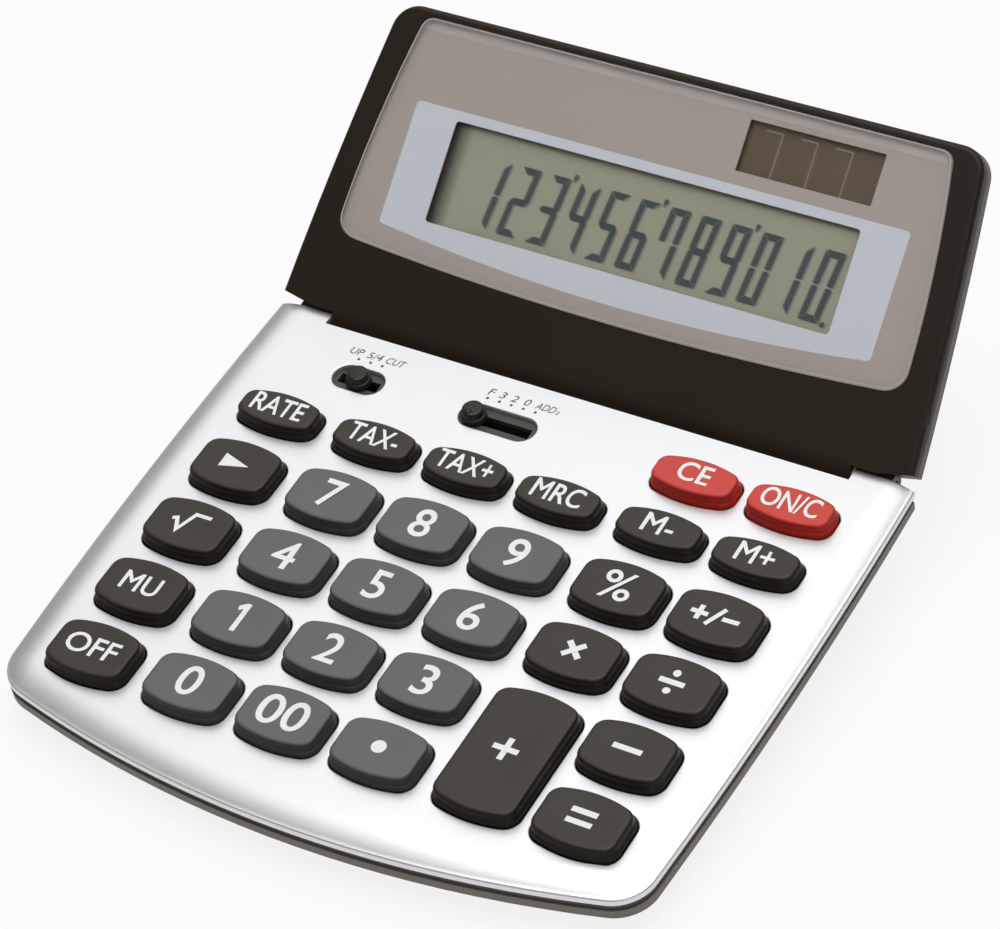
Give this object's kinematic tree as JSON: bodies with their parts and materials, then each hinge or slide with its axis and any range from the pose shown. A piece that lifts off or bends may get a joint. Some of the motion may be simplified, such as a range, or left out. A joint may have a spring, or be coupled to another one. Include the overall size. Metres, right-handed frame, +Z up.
{
  "type": "desktop calculator",
  "caption": "Wedge-shaped desktop calculator with a silver key panel, barrel-shaped plastic keys, two slide switches and a tilting display head with a solar cell.",
  "frame": {"origin": "on the desk, under the middle of the bounding box", "axes": "+X to the user's right, +Y away from the user towards the display head, +Z up"},
  "size_m": [0.1498, 0.1748, 0.0666],
  "materials": {
    "silver_cover": "fine brushed satin silver",
    "dark_case": "fine matt dark grey",
    "grey_case": "fine matt grey-brown",
    "number_key": "satin blue-grey",
    "function_key": "satin dark brown-grey",
    "clear_key": "satin red",
    "knob_black": "satin black",
    "head_black": "fine matt black-brown",
    "head_cover": "fine matt grey-brown",
    "clear_window": "clear gloss acrylic",
    "printed_sheet": "taupe print with a pale lavender-grey surround",
    "lcd": "green-grey liquid-crystal glass",
    "solar_brown": "brown amorphous silicon",
    "dome_rubber": "translucent grey silicone",
    "board": "green solder mask",
    "chip_epoxy": "black epoxy",
    "switch_body": "black nylon",
    "cell_steel": "bright steel can",
    "contact_steel": "bright spring steel",
    "screw_steel": "zinc-plated steel",
    "foot_rubber": "matt black rubber",
    "pin_steel": "ground steel",
    "washer_nylon": "natural nylon",
    "ribbon_film": "amber polyimide film",
    "inner_plastic": "black moulding",
    "strip_rubber": "striped elastomer"
  },
  "bodies": {
    "keyboard_half": {"lower_case": "grey_case", "upper_case": "dark_case", "faceplate": "silver_cover", "key_membrane": "dome_rubber", "main_pcb": "board", "controller_chip": "chip_epoxy", "rounding_switch": "switch_body", "decimal_switch": "switch_body", "battery_cell": "cell_steel", "battery_contacts": "contact_steel", "battery_door": "grey_case", "case_screws": "screw_steel", "rubber_feet": "foot_rubber", "hinge_pins": "pin_steel", "hinge_washers": "washer_nylon", "ribbon_base": "ribbon_film"},
    "display_head": {"head_bezel": "head_black", "head_back": "head_cover", "display_lens": "clear_window", "display_mask": "printed_sheet", "lcd_glass": "lcd", "solar_cell": "solar_brown", "lcd_holder": "inner_plastic", "zebra_strips": "strip_rubber", "head_pcb": "board", "head_screws": "screw_steel", "ribbon_head": "ribbon_film"},
    "key_0_cap": {"key_0": "number_key"},
    "key_1_cap": {"key_1": "number_key"},
    "key_2_cap": {"key_2": "number_key"},
    "key_3_cap": {"key_3": "number_key"},
    "key_4_cap": {"key_4": "number_key"},
    "key_5_cap": {"key_5": "number_key"},
    "key_6_cap": {"key_6": "number_key"},
    "key_7_cap": {"key_7": "number_key"},
    "key_8_cap": {"key_8": "number_key"},
    "key_9_cap": {"key_9": "number_key"},
    "key_00_cap": {"key_00": "number_key"},
    "key_point_cap": {"key_point": "number_key"},
    "key_add_cap": {"key_add": "function_key"},
    "key_subtract_cap": {"key_subtract": "function_key"},
    "key_multiply_cap": {"key_multiply": "function_key"},
    "key_divide_cap": {"key_divide": "function_key"},
    "key_equals_cap": {"key_equals": "function_key"},
    "key_percent_cap": {"key_percent": "function_key"},
    "key_sign_cap": {"key_sign": "function_key"},
    "key_root_cap": {"key_root": "function_key"},
    "key_markup_cap": {"key_markup": "function_key"},
    "key_off_cap": {"key_off": "function_key"},
    "key_shift_cap": {"key_shift": "function_key"},
    "key_rate_cap": {"key_rate": "function_key"},
    "key_tax_minus_cap": {"key_tax_minus": "function_key"},
    "key_tax_plus_cap": {"key_tax_plus": "function_key"},
    "key_memory_recall_cap": {"key_memory_recall": "function_key"},
    "key_memory_minus_cap": {"key_memory_minus": "function_key"},
    "key_memory_plus_cap": {"key_memory_plus": "function_key"},
    "key_clear_entry_cap": {"key_clear_entry": "clear_key"},
    "key_on_clear_cap": {"key_on_clear": "clear_key"},
    "rounding_slider": {"rounding_knob": "knob_black"},
    "decimal_slider": {"decimal_knob": "knob_black"}
  },
  "joints": [
    {"name": "rounding_slide", "type": "slide", "parent": "keyboard_half", "child": "rounding_slider", "axis": [1, 0, 0], "range_m": [-0.0028, 0.0028]},
    {"name": "decimal_slide", "type": "slide", "parent": "keyboard_half", "child": "decimal_slider", "axis": [1, 0, 0], "range_m": [0, 0.0112]},
    {"name": "head_tilt", "type": "hinge", "parent": "keyboard_half", "child": "display_head", "pos_m": [0, 0.03529, 0.0184], "axis": [1, 0, 0], "range_deg": [-36.6, 5]},
    {"name": "key_0_press", "type": "slide", "parent": "keyboard_half", "child": "key_0_cap", "axis": [0, 0.0872, -0.9962], "range_m": [0, 0.0014], "stiffness_N_per_m": 400, "springref_m": -0.0005, "deforming": ["key_membrane"]},
    {"name": "key_1_press", "type": "slide", "parent": "keyboard_half", "child": "key_1_cap", "axis": [0, 0.0872, -0.9962], "range_m": [0, 0.0014], "stiffness_N_per_m": 400, "springref_m": -0.0005, "deforming": ["key_membrane"]},
    {"name": "key_2_press", "type": "slide", "parent": "keyboard_half", "child": "key_2_cap", "axis": [0, 0.0872, -0.9962], "range_m": [0, 0.0014], "stiffness_N_per_m": 400, "springref_m": -0.0005, "deforming": ["key_membrane"]},
    {"name": "key_3_press", "type": "slide", "parent": "keyboard_half", "child": "key_3_cap", "axis": [0, 0.0872, -0.9962], "range_m": [0, 0.0014], "stiffness_N_per_m": 400, "springref_m": -0.0005, "deforming": ["key_membrane"]},
    {"name": "key_4_press", "type": "slide", "parent": "keyboard_half", "child": "key_4_cap", "axis": [0, 0.0872, -0.9962], "range_m": [0, 0.0014], "stiffness_N_per_m": 400, "springref_m": -0.0005, "deforming": ["key_membrane"]},
    {"name": "key_5_press", "type": "slide", "parent": "keyboard_half", "child": "key_5_cap", "axis": [0, 0.0872, -0.9962], "range_m": [0, 0.0014], "stiffness_N_per_m": 400, "springref_m": -0.0005, "deforming": ["key_membrane"]},
    {"name": "key_6_press", "type": "slide", "parent": "keyboard_half", "child": "key_6_cap", "axis": [0, 0.0872, -0.9962], "range_m": [0, 0.0014], "stiffness_N_per_m": 400, "springref_m": -0.0005, "deforming": ["key_membrane"]},
    {"name": "key_7_press", "type": "slide", "parent": "keyboard_half", "child": "key_7_cap", "axis": [0, 0.0872, -0.9962], "range_m": [0, 0.0014], "stiffness_N_per_m": 400, "springref_m": -0.0005, "deforming": ["key_membrane"]},
    {"name": "key_8_press", "type": "slide", "parent": "keyboard_half", "child": "key_8_cap", "axis": [0, 0.0872, -0.9962], "range_m": [0, 0.0014], "stiffness_N_per_m": 400, "springref_m": -0.0005, "deforming": ["key_membrane"]},
    {"name": "key_9_press", "type": "slide", "parent": "keyboard_half", "child": "key_9_cap", "axis": [0, 0.0872, -0.9962], "range_m": [0, 0.0014], "stiffness_N_per_m": 400, "springref_m": -0.0005, "deforming": ["key_membrane"]},
    {"name": "key_00_press", "type": "slide", "parent": "keyboard_half", "child": "key_00_cap", "axis": [0, 0.0872, -0.9962], "range_m": [0, 0.0014], "stiffness_N_per_m": 400, "springref_m": -0.0005, "deforming": ["key_membrane"]},
    {"name": "key_point_press", "type": "slide", "parent": "keyboard_half", "child": "key_point_cap", "axis": [0, 0.0872, -0.9962], "range_m": [0, 0.0014], "stiffness_N_per_m": 400, "springref_m": -0.0005, "deforming": ["key_membrane"]},
    {"name": "key_add_press", "type": "slide", "parent": "keyboard_half", "child": "key_add_cap", "axis": [0, 0.0872, -0.9962], "range_m": [0, 0.0014], "stiffness_N_per_m": 400, "springref_m": -0.0005, "deforming": ["key_membrane"]},
    {"name": "key_subtract_press", "type": "slide", "parent": "keyboard_half", "child": "key_subtract_cap", "axis": [0, 0.0872, -0.9962], "range_m": [0, 0.0014], "stiffness_N_per_m": 400, "springref_m": -0.0005, "deforming": ["key_membrane"]},
    {"name": "key_multiply_press", "type": "slide", "parent": "keyboard_half", "child": "key_multiply_cap", "axis": [0, 0.0872, -0.9962], "range_m": [0, 0.0014], "stiffness_N_per_m": 400, "springref_m": -0.0005, "deforming": ["key_membrane"]},
    {"name": "key_divide_press", "type": "slide", "parent": "keyboard_half", "child": "key_divide_cap", "axis": [0, 0.0872, -0.9962], "range_m": [0, 0.0014], "stiffness_N_per_m": 400, "springref_m": -0.0005, "deforming": ["key_membrane"]},
    {"name": "key_equals_press", "type": "slide", "parent": "keyboard_half", "child": "key_equals_cap", "axis": [0, 0.0872, -0.9962], "range_m": [0, 0.0014], "stiffness_N_per_m": 400, "springref_m": -0.0005, "deforming": ["key_membrane"]},
    {"name": "key_percent_press", "type": "slide", "parent": "keyboard_half", "child": "key_percent_cap", "axis": [0, 0.0872, -0.9962], "range_m": [0, 0.0014], "stiffness_N_per_m": 400, "springref_m": -0.0005, "deforming": ["key_membrane"]},
    {"name": "key_sign_press", "type": "slide", "parent": "keyboard_half", "child": "key_sign_cap", "axis": [0, 0.0872, -0.9962], "range_m": [0, 0.0014], "stiffness_N_per_m": 400, "springref_m": -0.0005, "deforming": ["key_membrane"]},
    {"name": "key_root_press", "type": "slide", "parent": "keyboard_half", "child": "key_root_cap", "axis": [0, 0.0872, -0.9962], "range_m": [0, 0.0014], "stiffness_N_per_m": 400, "springref_m": -0.0005, "deforming": ["key_membrane"]},
    {"name": "key_markup_press", "type": "slide", "parent": "keyboard_half", "child": "key_markup_cap", "axis": [0, 0.0872, -0.9962], "range_m": [0, 0.0014], "stiffness_N_per_m": 400, "springref_m": -0.0005, "deforming": ["key_membrane"]},
    {"name": "key_off_press", "type": "slide", "parent": "keyboard_half", "child": "key_off_cap", "axis": [0, 0.0872, -0.9962], "range_m": [0, 0.0014], "stiffness_N_per_m": 400, "springref_m": -0.0005, "deforming": ["key_membrane"]},
    {"name": "key_shift_press", "type": "slide", "parent": "keyboard_half", "child": "key_shift_cap", "axis": [0, 0.0872, -0.9962], "range_m": [0, 0.0014], "stiffness_N_per_m": 400, "springref_m": -0.0005, "deforming": ["key_membrane"]},
    {"name": "key_rate_press", "type": "slide", "parent": "keyboard_half", "child": "key_rate_cap", "axis": [0, 0.0872, -0.9962], "range_m": [0, 0.0014], "stiffness_N_per_m": 400, "springref_m": -0.0005, "deforming": ["key_membrane"]},
    {"name": "key_tax_minus_press", "type": "slide", "parent": "keyboard_half", "child": "key_tax_minus_cap", "axis": [0, 0.0872, -0.9962], "range_m": [0, 0.0014], "stiffness_N_per_m": 400, "springref_m": -0.0005, "deforming": ["key_membrane"]},
    {"name": "key_tax_plus_press", "type": "slide", "parent": "keyboard_half", "child": "key_tax_plus_cap", "axis": [0, 0.0872, -0.9962], "range_m": [0, 0.0014], "stiffness_N_per_m": 400, "springref_m": -0.0005, "deforming": ["key_membrane"]},
    {"name": "key_memory_recall_press", "type": "slide", "parent": "keyboard_half", "child": "key_memory_recall_cap", "axis": [0, 0.0872, -0.9962], "range_m": [0, 0.0014], "stiffness_N_per_m": 400, "springref_m": -0.0005, "deforming": ["key_membrane"]},
    {"name": "key_memory_minus_press", "type": "slide", "parent": "keyboard_half", "child": "key_memory_minus_cap", "axis": [0, 0.0872, -0.9962], "range_m": [0, 0.0014], "stiffness_N_per_m": 400, "springref_m": -0.0005, "deforming": ["key_membrane"]},
    {"name": "key_memory_plus_press", "type": "slide", "parent": "keyboard_half", "child": "key_memory_plus_cap", "axis": [0, 0.0872, -0.9962], "range_m": [0, 0.0014], "stiffness_N_per_m": 400, "springref_m": -0.0005, "deforming": ["key_membrane"]},
    {"name": "key_clear_entry_press", "type": "slide", "parent": "keyboard_half", "child": "key_clear_entry_cap", "axis": [0, 0.0872, -0.9962], "range_m": [0, 0.0014], "stiffness_N_per_m": 400, "springref_m": -0.0005, "deforming": ["key_membrane"]},
    {"name": "key_on_clear_press", "type": "slide", "parent": "keyboard_half", "child": "key_on_clear_cap", "axis": [0, 0.0872, -0.9962], "range_m": [0, 0.0014], "stiffness_N_per_m": 400, "springref_m": -0.0005, "deforming": ["key_membrane"]}
  ]
}
